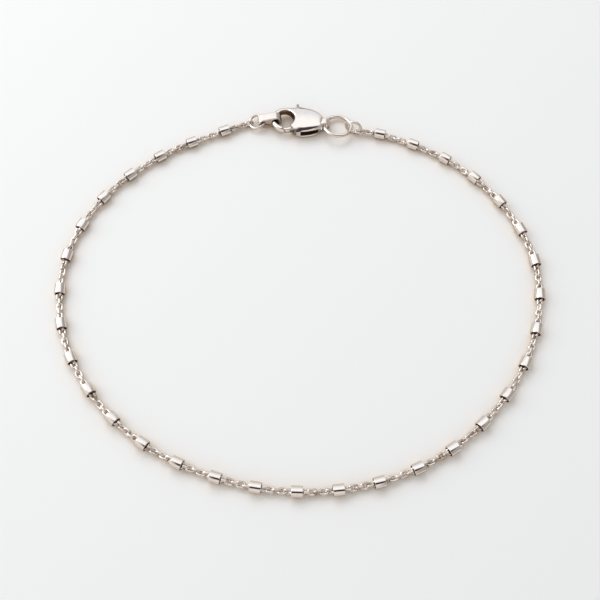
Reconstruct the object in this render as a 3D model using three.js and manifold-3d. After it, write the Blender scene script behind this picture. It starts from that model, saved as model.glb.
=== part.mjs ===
// A chain anklet in polished silver: a fine cable chain threaded through short tube beads,
// lying as one closed loop and fastened at the back by a lobster clasp, a flat link and three jump rings.
// Millimetres, +Z up, the surface that it lies on at z = 0, the clasp at the +Y side.

import * as THREE from "three";
import Module from "manifold-3d";
import { mergeVertices } from "three/addons/utils/BufferGeometryUtils.js";

// Chain
const LINK_WIRE = 0.4;
const LINK_WIDTH = 1.26;
const END_LINK_LENGTH = 2.0;
const END_LINK_HOLE = 0.76;
const TUBE_OVERLAP = 0.32;

// Beads
const BEAD_COUNT = 33;
const BEAD_LENGTH = 1.85;
const BEAD_WALL = 0.2;
const BORE_CLEARANCE = 0.12;

// Length of chain between the middle of an end link and the middle of the nearest bead
const LEFT_LEAD = 4.8;
const RIGHT_LEAD = 3.93;

// Jump rings, by wire and by outer diameter
const SMALL_WIRE = 0.52;
const SMALL_RING = 3.3;
const BIG_WIRE = 0.7;
const BIG_RING = 5.8;

// Flat link: a band bent into an egg-shaped loop, standing on its edge
const BAND_THICKNESS = 0.4;
const BAND_WIDTH = 1.6;
const FLAT_LINK_LENGTH = 4.5;

// Clasp: a ring-shaped claw, a domed hollow body and an eye behind it
const CLAW_HOLE = 3.44;
const ARM_WIDTH = 0.96;
const ARM_HEIGHT = 1.3;
const BODY_HEIGHT = 2.5;
const BODY_REACH = 4.62;
const BODY_BULGE = 0.03;
const DOME_SETBACK = 1.3;
const DOME_NOSE = 0.6;
const DOME_FLANK = 0.9;
const SHOULDER_SHARE = 0.4;
const SHOULDER_FULLNESS = 1.17;
const WAIST_SHARE = 0.86;
const WAIST_FULLNESS = 1.08;
const EYE_STANDOFF = 0.15;
const EYE_WIDTH = 1.2;
const EYE_WALL = 0.42;
const EYE_PLAY = 0.34;

// Lever: a plate on a pivot post, its gate closing the claw and its nub standing out at the far side
const LEVER_THICKNESS = 0.7;
const GATE_HEIGHT = 1.1;
const PIVOT_SETBACK = 0.5;
const PIVOT_OFFSET = -0.6;
const POST_RADIUS = 0.35;
const HUB_WALL = 0.45;
const NUB_WIDTH = 0.4;
const NUB_REACH = 1.0;
const NUB_LEAD = 1.2;
const LEVER_SWING = THREE.MathUtils.degToRad(13);

// Slot for the lever: walls left round it, and where its side window starts behind the claw
const FAR_WALL = 0.95;
const NEAR_WALL = 0.5;
const TAIL_WALL = 0.3;
const WINDOW_SETBACK = 0.5;
const WINDOW_FLARE = 1.4;

// How much of its width the slot keeps at its rear corner and beside the claw, as shares
const SLOT_REAR_SHARE = 0.7;
const SLOT_FRONT_SHARE = 0.75;
const SLOT_START_SHARE = 0.6;

// How far a cut runs past what it cuts, as a multiple of the body's half width
const CUT_MARGIN = 1.5;

// Angles round the claw at which the arm ends, the gate starts and the body begins again
const SLIT_OUTER = THREE.MathUtils.degToRad(-87);
const SLIT_INNER = THREE.MathUtils.degToRad(-109);
const GATE_ROOT = THREE.MathUtils.degToRad(-50);
const ROOT_END = THREE.MathUtils.degToRad(-22);

// Running clearance between pieces that hang in each other, and between the lever and its slot
const CLEARANCE = 0.13;
const NOSE_CLEARANCE = 0.325;
const RUNNING_GAP = 0.12;

// Where the clasp lies, and how each piece beside it is turned
const CLAW_X = -2.8;
const CLAW_Y = 36.55;
const CLASP_YAW = THREE.MathUtils.degToRad(-6);
const FLAT_LINK_YAW = THREE.MathUtils.degToRad(186);
const HEAD_ANGLE = THREE.MathUtils.degToRad(180);
const LEFT_RING_ROLL = THREE.MathUtils.degToRad(-4);
const RIGHT_RING = { yaw: THREE.MathUtils.degToRad(-15), roll: THREE.MathUtils.degToRad(86) };
const BIG_RING_LIE = {
  yaw: THREE.MathUtils.degToRad(-10),
  roll: THREE.MathUtils.degToRad(-11),
  rise: THREE.MathUtils.degToRad(-1),
};
const HANG_ANGLE = THREE.MathUtils.degToRad(30);

// Facets
const BEAD_SIDES = 12;
const CHAIN_SIDES = 8;
const WIRE_SIDES = 8;
const LINK_WIRE_SIDES = 6;
const RING_SEGMENTS = 24;
const LINK_SEGMENTS = 16;
const CURVE_SEGMENTS = 10;
const ROUND_SEGMENTS = 20;
const ARM_SIDES = 12;
const ARM_SEGMENTS = 40;
const DOME_SEGMENTS = 36;
const ARC_LENGTH_STEPS = 2000;
const MERGE_DISTANCE = 1e-4;

// Route of the chain on the surface from the left of the clasp round the front to its right
const ROUTE = [
  [-14.8, 34.2],
  [-26.2, 28.6],
  [-35.7, 19.8],
  [-41.0, 8.0],
  [-40.5, -5.0],
  [-35.0, -16.1],
  [-25.4, -25.3],
  [-13.2, -30.9],
  [-0.3, -33.1],
  [12.5, -31.6],
  [23.9, -26.6],
  [33.3, -18.1],
  [39.7, -6.8],
  [41.3, 6.4],
  [36.6, 18.5],
  [27.6, 27.8],
  [15.8, 33.5],
];

const beadBore = LINK_WIDTH + 2 * BORE_CLEARANCE;
const beadDiameter = beadBore + 2 * BEAD_WALL;
const clawRadius = CLAW_HOLE / 2;
const armRadius = clawRadius + ARM_WIDTH / 2;
const clawOuter = clawRadius + ARM_WIDTH;
const middle = BODY_HEIGHT / 2;
const bodyLength = clawOuter + BODY_REACH;
const bodyHalfWidth = clawOuter + BODY_BULGE;
const slotHeight = LEVER_THICKNESS + 2 * RUNNING_GAP;
const eyeRadius = BIG_WIRE / 2 + EYE_PLAY;
const eyeOuter = eyeRadius + EYE_WALL;
const eyeX = bodyLength + EYE_STANDOFF;
const pivotX = clawOuter + PIVOT_SETBACK;
const nubX = pivotX - NUB_LEAD;
const boreRadius = POST_RADIUS + RUNNING_GAP;
const hubRadius = boreRadius + HUB_WALL;
const smallRadius = (SMALL_RING - SMALL_WIRE) / 2;
const bigRadius = (BIG_RING - BIG_WIRE) / 2;
const endLinkWidth = END_LINK_HOLE + 2 * LINK_WIRE;

const wasm = await Module();
wasm.setup();

// Solids for joining and cutting

function toSolid(geometry) {
  const bare = geometry.index ? geometry.toNonIndexed() : geometry.clone();
  bare.deleteAttribute("normal");
  bare.deleteAttribute("uv");
  const merged = mergeVertices(bare, MERGE_DISTANCE);
  return new wasm.Manifold(new wasm.Mesh({
    numProp: 3,
    vertProperties: new Float32Array(merged.attributes.position.array),
    triVerts: new Uint32Array(merged.index.array),
  }));
}

function toGeometry(solid) {
  const { vertProperties, triVerts } = solid.getMesh();
  const geometry = new THREE.BufferGeometry();
  geometry.setAttribute("position", new THREE.BufferAttribute(vertProperties, 3));
  geometry.setIndex(new THREE.BufferAttribute(triVerts, 1));
  geometry.computeVertexNormals();
  return geometry;
}

function slab(shape, height, centreZ) {
  const geometry = new THREE.ExtrudeGeometry(shape, {
    depth: height,
    bevelEnabled: false,
    curveSegments: CURVE_SEGMENTS,
  });
  geometry.translate(0, 0, centreZ - height / 2);
  return toSolid(geometry);
}

function polygon(points) {
  return new THREE.Shape(points.map(([x, y]) => new THREE.Vector2(x, y)));
}

// A regular polygon whose flats touch the circle of this radius, with one flat facing down
function flatSided(PathClass, radius, sides) {
  const path = new PathClass();
  const corner = radius / Math.cos(Math.PI / sides);
  for (let i = 0; i < sides; i += 1) {
    const angle = -Math.PI / 2 + (Math.PI / sides) * (2 * i + 1);
    const x = corner * Math.cos(angle);
    const y = corner * Math.sin(angle);
    if (i === 0) path.moveTo(x, y);
    else path.lineTo(x, y);
  }
  path.closePath();
  return path;
}

// Directions: ahead points along a piece, side lies across it and normal stands on its plane

function axes({ yaw, roll = 0, rise = 0 }) {
  const ahead = new THREE.Vector3(
    Math.cos(yaw) * Math.cos(rise),
    Math.sin(yaw) * Math.cos(rise),
    Math.sin(rise),
  );
  const level = new THREE.Vector3(-Math.sin(yaw), Math.cos(yaw), 0);
  const up = new THREE.Vector3().crossVectors(ahead, level);
  const side = level.multiplyScalar(Math.cos(roll)).addScaledVector(up, Math.sin(roll));
  const normal = new THREE.Vector3().crossVectors(ahead, side);
  return { ahead, side, normal };
}

function place(object, origin, { ahead, side, normal }) {
  const matrix = new THREE.Matrix4().makeBasis(ahead, side, normal);
  object.quaternion.setFromRotationMatrix(matrix);
  object.position.copy(origin);
  return object;
}

function along(origin, direction, distance) {
  return origin.clone().addScaledVector(direction, distance);
}

// Materials

function silver(color, roughness) {
  return new THREE.MeshStandardMaterial({ color, roughness, metalness: 1 });
}

const chainSilver = silver(0xd2cbc5, 0.16);
const beadSilver = silver(0xdcd8d5, 0.1);
const claspSilver = silver(0xe0dddb, 0.08);
const ringSilver = silver(0xd8d3cf, 0.12);

function named(name, geometry, material) {
  const mesh = new THREE.Mesh(geometry, material.clone());
  mesh.name = name;
  return mesh;
}

// Rings and links

function ringGeometry(outer, wire) {
  return new THREE.TorusGeometry((outer - wire) / 2, wire / 2, WIRE_SIDES, RING_SEGMENTS);
}

// A round ring drawn out along X into a long link with straight sides
function linkGeometry(length, width, wire) {
  const geometry = new THREE.TorusGeometry((width - wire) / 2, wire / 2, LINK_WIRE_SIDES, LINK_SEGMENTS);
  geometry.rotateZ(Math.PI / LINK_SEGMENTS);
  const position = geometry.attributes.position;
  const straight = (length - width) / 2;
  for (let i = 0; i < position.count; i += 1) {
    position.setX(i, position.getX(i) + Math.sign(position.getX(i)) * straight);
  }
  return geometry;
}

// Clasp body in its own frame: claw centre at the origin, eye toward +X, gate at -Y, nub at +Y

function polar(radius, angle) {
  return [radius * Math.cos(angle), radius * Math.sin(angle)];
}

function upright(radius, height, segments, x, y) {
  const cylinder = new THREE.CylinderGeometry(radius, radius, height, segments);
  cylinder.rotateX(Math.PI / 2);
  cylinder.translate(x, y, middle);
  return toSolid(cylinder);
}

function lying(radius, length, segments, x) {
  const cylinder = new THREE.CylinderGeometry(radius, radius, length, segments);
  cylinder.translate(x, 0, middle);
  return toSolid(cylinder);
}

// The side that the gate opens: from the slit in the arm to the edge of the body
function gateGap(far) {
  return polygon([
    [0, 0],
    polar(clawRadius, SLIT_INNER),
    polar(clawOuter, SLIT_OUTER),
    polar(far, SLIT_OUTER + (SLIT_OUTER - SLIT_INNER) / 2),
    polar(far, GATE_ROOT),
  ]);
}

function armSolid() {
  const arm = new THREE.TorusGeometry(armRadius, ARM_WIDTH / 2, ARM_SIDES, ARM_SEGMENTS);
  arm.scale(1, 1, ARM_HEIGHT / ARM_WIDTH);
  arm.translate(0, 0, middle);
  return toSolid(arm);
}

function bodyOutline() {
  const shape = new THREE.Shape();
  const shoulder = SHOULDER_SHARE * bodyLength;
  const waist = WAIST_SHARE * bodyLength;
  const full = SHOULDER_FULLNESS * bodyHalfWidth;
  const drawnIn = WAIST_FULLNESS * bodyHalfWidth;
  const tail = EYE_WIDTH / 2;
  shape.moveTo(0, bodyHalfWidth);
  shape.bezierCurveTo(shoulder, full, waist, drawnIn, bodyLength, tail);
  shape.lineTo(bodyLength, -tail);
  shape.bezierCurveTo(waist, -drawnIn, shoulder, -full, 0, -bodyHalfWidth);
  shape.closePath();
  return shape;
}

function domedBody() {
  const domeMiddle = clawOuter + DOME_SETBACK;
  const dome = new THREE.SphereGeometry(1, DOME_SEGMENTS, DOME_SEGMENTS / 2);
  dome.rotateX(Math.PI / 2);
  dome.scale(domeMiddle + clawOuter + DOME_NOSE, bodyHalfWidth + DOME_FLANK, middle);
  dome.translate(domeMiddle, 0, middle);
  return slab(bodyOutline(), BODY_HEIGHT * 2, middle).intersect(toSolid(dome));
}

// The space for the lever: open to the claw and through a side window, with a notch for the nub
function slotSolid() {
  const farWall = bodyHalfWidth - FAR_WALL;
  const nearWall = bodyHalfWidth - NEAR_WALL;
  const outside = bodyHalfWidth * CUT_MARGIN;
  const sweep = (bodyHalfWidth + NUB_REACH - PIVOT_OFFSET) * Math.tan(LEVER_SWING);
  const notchStart = nubX - NUB_WIDTH / 2 - 2 * RUNNING_GAP;
  const notchEnd = nubX + NUB_WIDTH / 2 + sweep + 2 * RUNNING_GAP;
  const windowStart = clawOuter + WINDOW_SETBACK;
  const slotEnd = eyeX - eyeOuter - TAIL_WALL;
  const room = polygon([
    [0, 0],
    polar(clawOuter, GATE_ROOT - 2 * RUNNING_GAP),
    [windowStart, -nearWall],
    [windowStart, -outside],
    [slotEnd + WINDOW_FLARE, -outside],
    [slotEnd, -NEAR_WALL],
    [slotEnd - FAR_WALL, farWall * SLOT_REAR_SHARE],
    [notchEnd, farWall],
    [notchStart, farWall],
    [clawRadius * SLOT_START_SHARE, farWall * SLOT_FRONT_SHARE],
  ]);
  const notch = polygon([
    [notchStart, 0],
    [notchEnd, 0],
    [notchEnd, outside],
    [notchStart, outside],
  ]);
  return slab(room, slotHeight, middle).add(slab(notch, slotHeight, middle));
}

function claspBodyGeometry() {
  const through = BODY_HEIGHT * 2;
  const body = domedBody()
    .subtract(upright(clawRadius, through, ARM_SEGMENTS, 0, 0))
    .add(armSolid())
    .subtract(slab(gateGap(bodyHalfWidth * CUT_MARGIN), through, middle))
    .add(lying(eyeOuter, EYE_WIDTH, ROUND_SEGMENTS, eyeX))
    .subtract(lying(eyeRadius, EYE_WIDTH * 2, ROUND_SEGMENTS, eyeX))
    .subtract(slotSolid())
    .add(upright(POST_RADIUS, slotHeight + 2 * RUNNING_GAP, ROUND_SEGMENTS, pivotX, PIVOT_OFFSET));
  return toGeometry(body);
}

// Lever in the clasp's frame, closed

const leverInner = clawRadius + RUNNING_GAP / 2;
const leverOuter = clawOuter - RUNNING_GAP / 2;
const tipGap = 2 * RUNNING_GAP;

// A stretch of the claw's ring between slanted ends
function ringStretch(start, end) {
  const points = [];
  for (let i = 0; i <= CURVE_SEGMENTS; i += 1) {
    points.push(polar(leverOuter, THREE.MathUtils.lerp(start.outer, end.outer, i / CURVE_SEGMENTS)));
  }
  for (let i = CURVE_SEGMENTS; i >= 0; i -= 1) {
    points.push(polar(leverInner, THREE.MathUtils.lerp(start.inner, end.inner, i / CURVE_SEGMENTS)));
  }
  return polygon(points);
}

function leverGeometry() {
  const tip = { outer: SLIT_OUTER + tipGap / clawOuter, inner: SLIT_INNER + tipGap / clawRadius };
  const bodyEdge = { outer: GATE_ROOT - tipGap / clawOuter, inner: GATE_ROOT - tipGap / clawRadius };
  const rootEnd = { outer: GATE_ROOT, inner: ROOT_END };
  const web = polygon([
    polar(leverOuter, bodyEdge.outer),
    [pivotX, PIVOT_OFFSET - hubRadius],
    [pivotX, PIVOT_OFFSET + hubRadius],
    polar(leverInner, ROOT_END),
    polar(leverInner, bodyEdge.inner),
  ]);
  const nubEnd = bodyHalfWidth + NUB_REACH;
  const nub = polygon([
    [nubX - NUB_WIDTH / 2, nubEnd],
    [pivotX - hubRadius, PIVOT_OFFSET],
    [pivotX + POST_RADIUS, PIVOT_OFFSET],
    [nubX + NUB_WIDTH / 2, nubEnd],
  ]);
  const lever = slab(ringStretch(tip, bodyEdge), GATE_HEIGHT, middle)
    .add(slab(ringStretch(tip, rootEnd), LEVER_THICKNESS, middle))
    .add(slab(web, LEVER_THICKNESS, middle))
    .add(slab(nub, LEVER_THICKNESS, middle))
    .add(upright(hubRadius, LEVER_THICKNESS, ROUND_SEGMENTS, pivotX, PIVOT_OFFSET))
    .subtract(upright(boreRadius, BODY_HEIGHT, ROUND_SEGMENTS, pivotX, PIVOT_OFFSET));
  return toGeometry(lever);
}

function buildClasp() {
  const clasp = new THREE.Group();
  clasp.add(named("clasp_body", claspBodyGeometry(), claspSilver));
  clasp.add(named("clasp_lever", leverGeometry(), claspSilver));
  clasp.position.set(CLAW_X, CLAW_Y, 0);
  clasp.rotation.z = CLASP_YAW;
  return clasp;
}

function claspPoint(x, y) {
  return new THREE.Vector3(x, y, middle)
    .applyAxisAngle(new THREE.Vector3(0, 0, 1), CLASP_YAW)
    .add(new THREE.Vector3(CLAW_X, CLAW_Y, 0));
}

// Flat link: its round head holds the claw's arm, its narrow nose the left jump ring

const headRadius = Math.hypot(ARM_WIDTH, ARM_HEIGHT) / 2 + CLEARANCE + BAND_THICKNESS;
const noseRadius = SMALL_WIRE / 2 + NOSE_CLEARANCE + BAND_THICKNESS;
const flatLinkAxes = axes({ yaw: FLAT_LINK_YAW, roll: Math.PI / 2 });
const armSag = armRadius - Math.sqrt(armRadius ** 2 - (BAND_WIDTH / 2) ** 2);
const flatLinkHead = claspPoint(...polar(armRadius - armSag, HEAD_ANGLE)).setZ(headRadius);
const noseDistance = FLAT_LINK_LENGTH - headRadius - noseRadius;

// The outline that a belt takes round the head and the nose
function eggOutline(PathClass, head, nose) {
  const path = new PathClass();
  const lean = Math.acos((head - nose) / noseDistance);
  path.absarc(0, 0, head, lean, 2 * Math.PI - lean, false);
  path.absarc(noseDistance, 0, nose, -lean, lean, false);
  path.closePath();
  return path;
}

function buildFlatLink() {
  const shape = eggOutline(THREE.Shape, headRadius, noseRadius);
  shape.holes.push(eggOutline(THREE.Path, headRadius - BAND_THICKNESS, noseRadius - BAND_THICKNESS));
  const geometry = new THREE.ExtrudeGeometry(shape, {
    depth: BAND_WIDTH,
    bevelEnabled: false,
    curveSegments: CURVE_SEGMENTS,
  });
  geometry.translate(0, 0, -BAND_WIDTH / 2);
  return place(named("flat_link", geometry, claspSilver), flatLinkHead, flatLinkAxes);
}

// Left jump ring: hangs in the nose of the flat link and comes down to the chain's end link

const ringSag = smallRadius - Math.sqrt(smallRadius ** 2 - (BAND_WIDTH / 2) ** 2);
const leftHang = along(
  flatLinkHead,
  flatLinkAxes.ahead,
  noseDistance + noseRadius - BAND_THICKNESS - 2 * CLEARANCE - SMALL_WIRE / 2 - ringSag,
);
const leftLinkHeight = endLinkWidth / 2;
const leftRingRise = -Math.asin((leftHang.z - leftLinkHeight) / (2 * smallRadius));
const leftRingAxes = axes({ yaw: FLAT_LINK_YAW, roll: LEFT_RING_ROLL, rise: leftRingRise });
const leftRingCentre = along(leftHang, leftRingAxes.ahead, smallRadius);
const leftContact = along(leftHang, leftRingAxes.ahead, 2 * smallRadius);

// Big jump ring: lies in the eye of the clasp
const bigHang = claspPoint(eyeX, 0);
const bigRingAxes = axes(BIG_RING_LIE);
const bigRingCentre = along(bigHang, bigRingAxes.ahead, bigRadius);
const bigContact = along(bigHang, bigRingAxes.ahead, 2 * bigRadius);

// Right jump ring: stands upright round the big ring's wire, and the end link hangs low on it
const rightRingAxes = axes(RIGHT_RING);
const rightReach = smallRadius - SMALL_WIRE / 2 - BIG_WIRE / 2 - CLEARANCE;
const rightRingHeight = smallRadius * Math.sin(RIGHT_RING.roll) + SMALL_WIRE / 2;
const rightRise = rightRingHeight - bigContact.z;
const rightRingCentre = along(
  bigContact,
  rightRingAxes.ahead,
  Math.sqrt(Math.max(rightReach ** 2 - rightRise ** 2, 0)),
);
rightRingCentre.z = rightRingHeight;
const rightContact = along(rightRingCentre, rightRingAxes.ahead, smallRadius * Math.cos(HANG_ANGLE))
  .addScaledVector(rightRingAxes.side, -smallRadius * Math.sin(HANG_ANGLE));

function buildRings() {
  const rings = new THREE.Group();
  rings.add(place(named("left_jump_ring", ringGeometry(SMALL_RING, SMALL_WIRE), ringSilver),
    leftRingCentre, leftRingAxes));
  rings.add(place(named("big_jump_ring", ringGeometry(BIG_RING, BIG_WIRE), ringSilver),
    bigRingCentre, bigRingAxes));
  rings.add(place(named("right_jump_ring", ringGeometry(SMALL_RING, SMALL_WIRE), ringSilver),
    rightRingCentre, rightRingAxes));
  return rings;
}

// Chain: end links at both jump rings, and between them the route through every bead

const firstBead = new THREE.Vector3(...ROUTE[0], beadDiameter / 2);
const lastBead = new THREE.Vector3(...ROUTE.at(-1), beadDiameter / 2);

// The crown of an end link stands clear inside the jump ring, at this angle below its middle
function endLinkCentre(contact, bead, hang) {
  const room = smallRadius - (SMALL_WIRE + LINK_WIRE) / 2 - CLEARANCE;
  const crown = Math.sqrt(Math.max(room ** 2 - (smallRadius * Math.sin(hang)) ** 2, 0));
  const crownReach = smallRadius * Math.cos(hang) - crown;
  const out = bead.clone().sub(contact).setZ(0).normalize();
  return along(contact, out, (END_LINK_LENGTH - LINK_WIRE) / 2 - crownReach);
}

const leftEnd = endLinkCentre(leftContact, firstBead, 0);
const rightEnd = endLinkCentre(rightContact, lastBead, HANG_ANGLE);

const route = new THREE.CatmullRomCurve3([
  leftEnd,
  ...ROUTE.map(([x, y]) => new THREE.Vector3(x, y, beadDiameter / 2)),
  rightEnd,
]);
route.arcLengthDivisions = ARC_LENGTH_STEPS;
const routeLength = route.getLength();
const beadPitch = (routeLength - LEFT_LEAD - RIGHT_LEAD) / (BEAD_COUNT - 1);

function routePoint(distance) {
  return route.getPointAt(THREE.MathUtils.clamp(distance / routeLength, 0, 1));
}

// A run of straight lines through listed points, one step of the extrusion for each line
class StationCurve extends THREE.Curve {
  constructor(stations) {
    super();
    this.stations = stations;
  }

  getPoint(t, target = new THREE.Vector3()) {
    const last = this.stations.length - 1;
    const reach = THREE.MathUtils.clamp(t, 0, 1) * last;
    const index = Math.min(Math.floor(reach), last - 1);
    return target.lerpVectors(this.stations[index], this.stations[index + 1], reach - index);
  }

  getPointAt(u, target) {
    return this.getPoint(u, target);
  }

  getTangentAt(u, target) {
    return this.getTangent(u, target);
  }
}

const tubeInset = END_LINK_LENGTH / 2 - TUBE_OVERLAP;

function beadEnds(index) {
  const centre = LEFT_LEAD + beadPitch * index;
  return [routePoint(centre - BEAD_LENGTH / 2), routePoint(centre + BEAD_LENGTH / 2)];
}

function chainStations() {
  const stations = [routePoint(tubeInset)];
  for (let i = 0; i < BEAD_COUNT; i += 1) {
    stations.push(...beadEnds(i));
  }
  stations.push(routePoint(routeLength - tubeInset));
  return stations;
}

function endLinkSolid(centre, towards, roll) {
  const direction = towards.clone().sub(centre);
  const yaw = Math.atan2(direction.y, direction.x);
  const link = place(new THREE.Mesh(linkGeometry(END_LINK_LENGTH, endLinkWidth, LINK_WIRE)),
    centre, axes({ yaw, roll }));
  link.updateMatrix();
  return toSolid(link.geometry.applyMatrix4(link.matrix));
}

function buildChain() {
  const stations = chainStations();
  const section = flatSided(THREE.Shape, (LINK_WIDTH / 2) * Math.cos(Math.PI / CHAIN_SIDES), CHAIN_SIDES);
  const tube = new THREE.ExtrudeGeometry(section, {
    steps: stations.length - 1,
    extrudePath: new StationCurve(stations),
    bevelEnabled: false,
  });
  const solid = toSolid(tube)
    .add(endLinkSolid(leftEnd, routePoint(tubeInset), Math.PI / 2))
    .add(endLinkSolid(rightEnd, routePoint(routeLength - tubeInset), 0));
  return named("chain", toGeometry(solid), chainSilver);
}

// Beads: thin-walled tubes round the chain

function beadGeometry() {
  const shape = flatSided(THREE.Shape, beadDiameter / 2, BEAD_SIDES);
  shape.holes.push(flatSided(THREE.Path, beadBore / 2, BEAD_SIDES));
  const geometry = new THREE.ExtrudeGeometry(shape, { depth: BEAD_LENGTH, bevelEnabled: false });
  geometry.translate(0, 0, -BEAD_LENGTH / 2);
  geometry.rotateX(Math.PI / 2);
  geometry.rotateZ(Math.PI / 2);
  return geometry;
}

function buildBeads() {
  const beads = new THREE.Group();
  for (let i = 0; i < BEAD_COUNT; i += 1) {
    const [start, end] = beadEnds(i);
    const centre = start.clone().lerp(end, 0.5).setZ(beadDiameter / 2);
    const yaw = Math.atan2(end.y - start.y, end.x - start.x);
    const name = `bead_${String(i + 1).padStart(2, "0")}`;
    beads.add(place(named(name, beadGeometry(), beadSilver), centre, axes({ yaw })));
  }
  return beads;
}

const group = new THREE.Group();
group.add(buildClasp());
group.add(buildFlatLink());
group.add(buildRings());
group.add(buildChain());
group.add(buildBeads());

// The origin is the middle of the underside of the whole anklet
const extent = new THREE.Box3().setFromObject(group, true);
const centre = extent.getCenter(new THREE.Vector3());
group.position.set(-centre.x, -centre.y, -extent.min.z);
group.updateMatrixWorld(true);

export default group;
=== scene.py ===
"""A polished silver chain anklet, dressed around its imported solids.

The cable links, tube beads, jump rings, flat link and lobster clasp are made as smooth surfaces where their
solids lie, given their finishes, and set on a pale floor in soft light.
"""

import logging
import math
from dataclasses import dataclass, field
from enum import Enum

import bpy
import numpy as np
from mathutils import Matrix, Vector


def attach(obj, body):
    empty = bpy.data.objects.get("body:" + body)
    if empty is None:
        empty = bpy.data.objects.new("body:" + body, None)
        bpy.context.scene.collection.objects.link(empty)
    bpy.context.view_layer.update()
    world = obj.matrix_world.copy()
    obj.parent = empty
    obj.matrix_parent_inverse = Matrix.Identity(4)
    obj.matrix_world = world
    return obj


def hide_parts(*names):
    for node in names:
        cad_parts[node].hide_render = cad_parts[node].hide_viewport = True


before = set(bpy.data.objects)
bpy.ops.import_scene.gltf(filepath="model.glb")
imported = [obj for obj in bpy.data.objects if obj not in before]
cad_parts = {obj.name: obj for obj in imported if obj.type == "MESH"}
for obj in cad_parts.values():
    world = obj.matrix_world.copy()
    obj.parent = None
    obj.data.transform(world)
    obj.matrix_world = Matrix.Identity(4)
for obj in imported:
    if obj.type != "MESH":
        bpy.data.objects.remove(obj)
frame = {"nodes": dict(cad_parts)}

log = logging.getLogger("anklet")
logging.basicConfig(level=logging.INFO, format="%(name)s: %(message)s")

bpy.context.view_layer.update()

Colour = tuple[float, float, float]
Point = tuple[float, float, float]
Axes = tuple[np.ndarray, np.ndarray, np.ndarray]
Socket = bpy.types.NodeSocket
Feed = Socket | float | tuple

# Metres in a millimetre: shapes are worked out in millimetres and stored in metres
MM = 0.001

# What the chain is threaded through and hangs in
BEAD_COUNT = 33
LINKS_PER_PITCH = 7

# The route's points are listed from the middle of the floor under the loop, and this brings them to the frame
ROUTE_SHIFT = np.array([0.0414, -2.9954, 0.0])

# The chain's way round: its left end link, every second bead or so, and its right end link
LEFT_END = (-9.7199, 36.1949, 0.78)
RIGHT_END = (11.1911, 34.4171, 0.9533)
BEAD_HEIGHT = 0.95
ROUTE = (
    (-14.8, 34.2), (-26.2, 28.6), (-35.7, 19.8), (-41.0, 8.0), (-40.5, -5.0), (-35.0, -16.1),
    (-25.4, -25.3), (-13.2, -30.9), (-0.3, -33.1), (12.5, -31.6), (23.9, -26.6), (33.3, -18.1),
    (39.7, -6.8), (41.3, 6.4), (36.6, 18.5), (27.6, 27.8), (15.8, 33.5),
)

# How square the section of a flat band is: the power of its superellipse
BAND_POWER = 5

# Faces of the clasp that meet at more than this keep a hard edge between them
CLASP_CREASE = math.radians(40)


class Body(Enum):
    """The rigid bodies that pieces ride on."""

    ANKLET = "anklet"
    LEVER = "lever"


class Slot(Enum):
    """The record's material slots."""

    CLASP = "clasp_silver"
    RING = "ring_silver"
    CHAIN = "chain_silver"
    BEAD = "bead_silver"


class Carving(Enum):
    """What a tool does to the piece that it meets."""

    CUT = "DIFFERENCE"
    JOIN = "UNION"


@dataclass
class Shell:
    """A closed surface in millimetres.

    Attributes:
        points: Its vertices, one row each.
        quads: Corner numbers of its four-sided faces.
        caps: Corner numbers of the flat faces that close its ends.
        inside: For each quad, True where it takes the darker inside finish, whose colour is painted shade.
    """

    points: np.ndarray
    quads: np.ndarray
    caps: list[list[int]] = field(default_factory=list)
    inside: np.ndarray | None = None

    def volume(self) -> float:
        """Sixths of the corner triple products summed over all triangles.

        Returns:
            The volume, above 0 where the normals point out.
        """
        fans = [np.array([[cap[0], b, c] for b, c in zip(cap[1:-1], cap[2:])]) for cap in self.caps]
        triangles = np.concatenate([self.quads[:, [0, 1, 2]], self.quads[:, [0, 2, 3]], *fans])
        a, b, c = (self.points[triangles[:, i]] for i in range(3))
        return float(np.einsum("ij,ij->", a, np.cross(b, c)) / 6)

    def outward(self) -> "Shell":
        """The same shell with every face turned so that its normal points out."""
        turned = Shell(self.points, self.quads[:, ::-1], [cap[::-1] for cap in self.caps], self.inside)
        return self if self.volume() >= 0 else turned

    def mark_inside(self, columns: np.ndarray) -> None:
        """Marks the quads that run between two marked columns of the sections, one flag for each column."""
        column = np.arange(len(self.quads)) % len(columns)
        self.inside = columns[column] & columns[(column + 1) % len(columns)]


def loop_quads(rows: int, columns: int, close_rows: bool) -> np.ndarray:
    """Joins the points of a grid whose columns close on themselves.

    Args:
        rows: How many sections there are.
        columns: How many points a section has.
        close_rows: True where the last section meets the first.

    Returns:
        One row of four corner numbers for each face.
    """
    last = rows if close_rows else rows - 1
    row, column = np.meshgrid(np.arange(last), np.arange(columns), indexing="ij")
    below = (row + 1) % rows * columns
    above = row * columns
    beside = (column + 1) % columns
    corners = [above + column, above + beside, below + beside, below + column]
    return np.stack(corners, axis=-1).reshape(-1, 4)


def swept(sections: np.ndarray, closed: bool) -> Shell:
    """Skins a run of sections, each a closed loop of points.

    An open run is closed with one face over its first section and one over its last.

    Args:
        sections: Points by section, by place in the section, by coordinate.
        closed: True where the run comes back to its first section.

    Returns:
        A closed shell with its normals pointing out.
    """
    rows, columns = sections.shape[:2]
    points = sections.reshape(-1, 3)
    quads = loop_quads(rows, columns, closed)
    if closed:
        return Shell(points, quads).outward()
    first = list(range(columns))
    last = [(rows - 1) * columns + i for i in first]
    return Shell(points, quads, [first[::-1], last]).outward()


def joined(shells: list[Shell]) -> Shell:
    """One shell of several without caps or insides, which keep their own points."""
    points, before = [s.points for s in shells], np.cumsum([0] + [len(s.points) for s in shells])
    return Shell(np.concatenate(points), np.concatenate([s.quads + b for s, b in zip(shells, before)]))


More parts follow.
